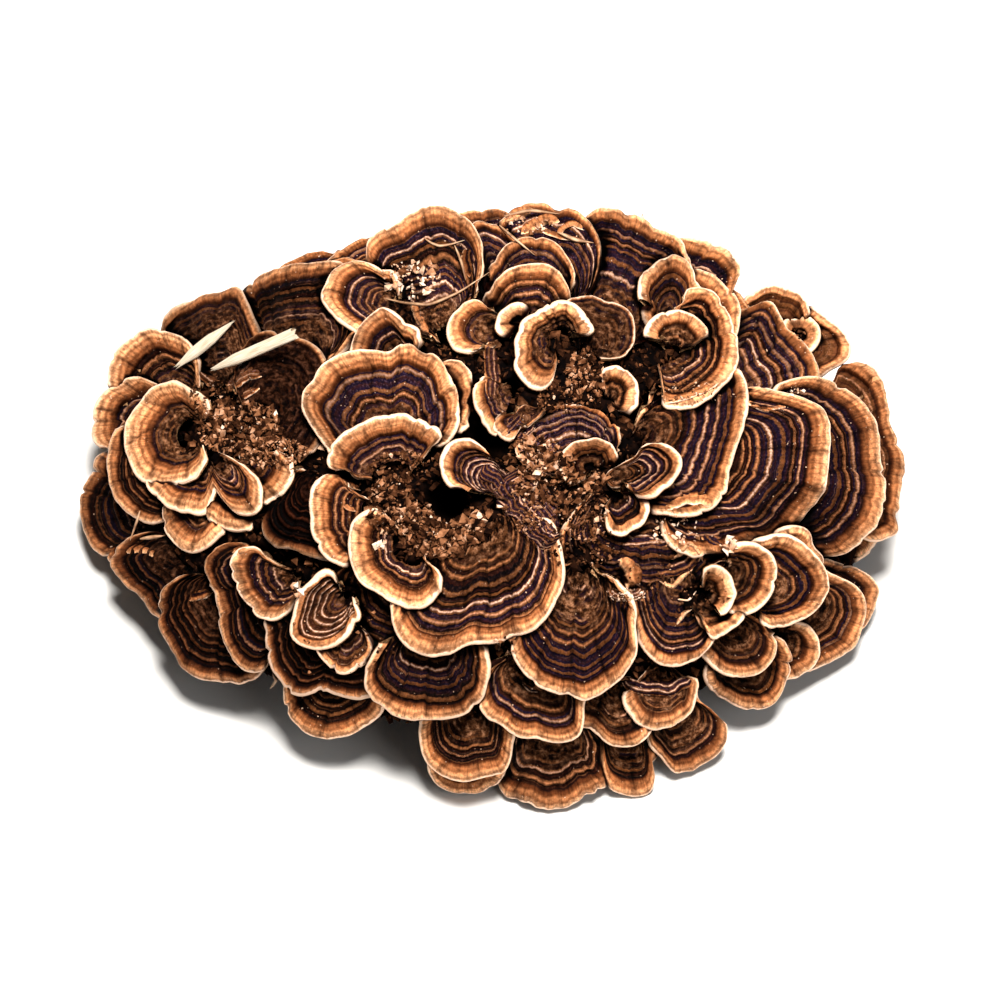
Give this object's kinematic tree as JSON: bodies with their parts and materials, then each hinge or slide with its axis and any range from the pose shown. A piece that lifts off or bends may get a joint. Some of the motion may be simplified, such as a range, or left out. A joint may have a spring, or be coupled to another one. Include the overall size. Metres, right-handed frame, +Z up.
{
  "type": "turkey tail fungus",
  "caption": "Domed cluster of thin banded bracket caps, overlapping like shingles and opening into rosettes, on a litter mound cut off flat below.",
  "frame": {"origin": "middle of the flat cut under the mound", "axes": "+X runs across the cluster, +Z points up from the cut, -Y is the front that the picture looks at from above"},
  "size_m": [0.2512, 0.2071, 0.0834],
  "materials": {
    "caps": "matt, fine velvety bands of tan, brown, cream and dark purple with a pale edge",
    "litter": "matt, crumbly brown bark and leaf litter with dark hollows",
    "wood": "matt, pale raw wood"
  },
  "bodies": {
    "root": {"arch_cap": "caps", "back_left_cap": "caps", "back_low_caps": "caps", "back_middle_caps": "caps", "back_upper_caps": "caps", "bottom_cap": "caps", "brown_ridge_cap": "caps", "cup_cap": "caps", "curl_cap": "caps", "ear_cap": "caps", "far_low_right_cap": "caps", "far_right_cap": "caps", "front_fan": "caps", "front_left_low_cap": "caps", "grey_cap": "caps", "hollow_left_cap": "caps", "hollow_lower_cap": "caps", "hollow_upper_cap": "caps", "inner_arch_cap": "caps", "inner_right_cap": "caps", "left_centre_cap": "caps", "left_crown_cap": "caps", "left_dark_cap": "caps", "left_edge_cap": "caps", "left_low_cap": "caps", "left_pale_cap": "caps", "left_rosette_cap": "caps", "left_rosette_low_cap": "caps", "left_shoulder_cap": "caps", "litter_mound": "litter", "long_crescent_cap": "caps", "low_centre_cap": "caps", "low_crescent_cap": "caps", "low_left_cap": "caps", "low_middle_cap": "caps", "low_right_cap": "caps", "lower_far_right_cap": "caps", "lower_left_fan": "caps", "lower_right_cap": "caps", "lower_right_fan": "caps", "right_centre_cap": "caps", "right_low_cap": "caps", "right_main_cap": "caps", "right_outer_cap": "caps", "right_shelf_cap": "caps", "right_striped_cap": "caps", "rolled_cap": "caps", "small_centre_cap": "caps", "small_top_cap": "caps", "splinter_left": "wood", "splinter_right": "wood", "striped_small_cap": "caps", "striped_top_cap": "caps", "top_left_cap": "caps", "top_right_cap": "caps", "top_right_inner_cap": "caps", "twisted_cap": "caps", "upper_right_cap": "caps", "upright_cap": "caps", "white_edged_cap": "caps"}
  },
  "joints": []
}
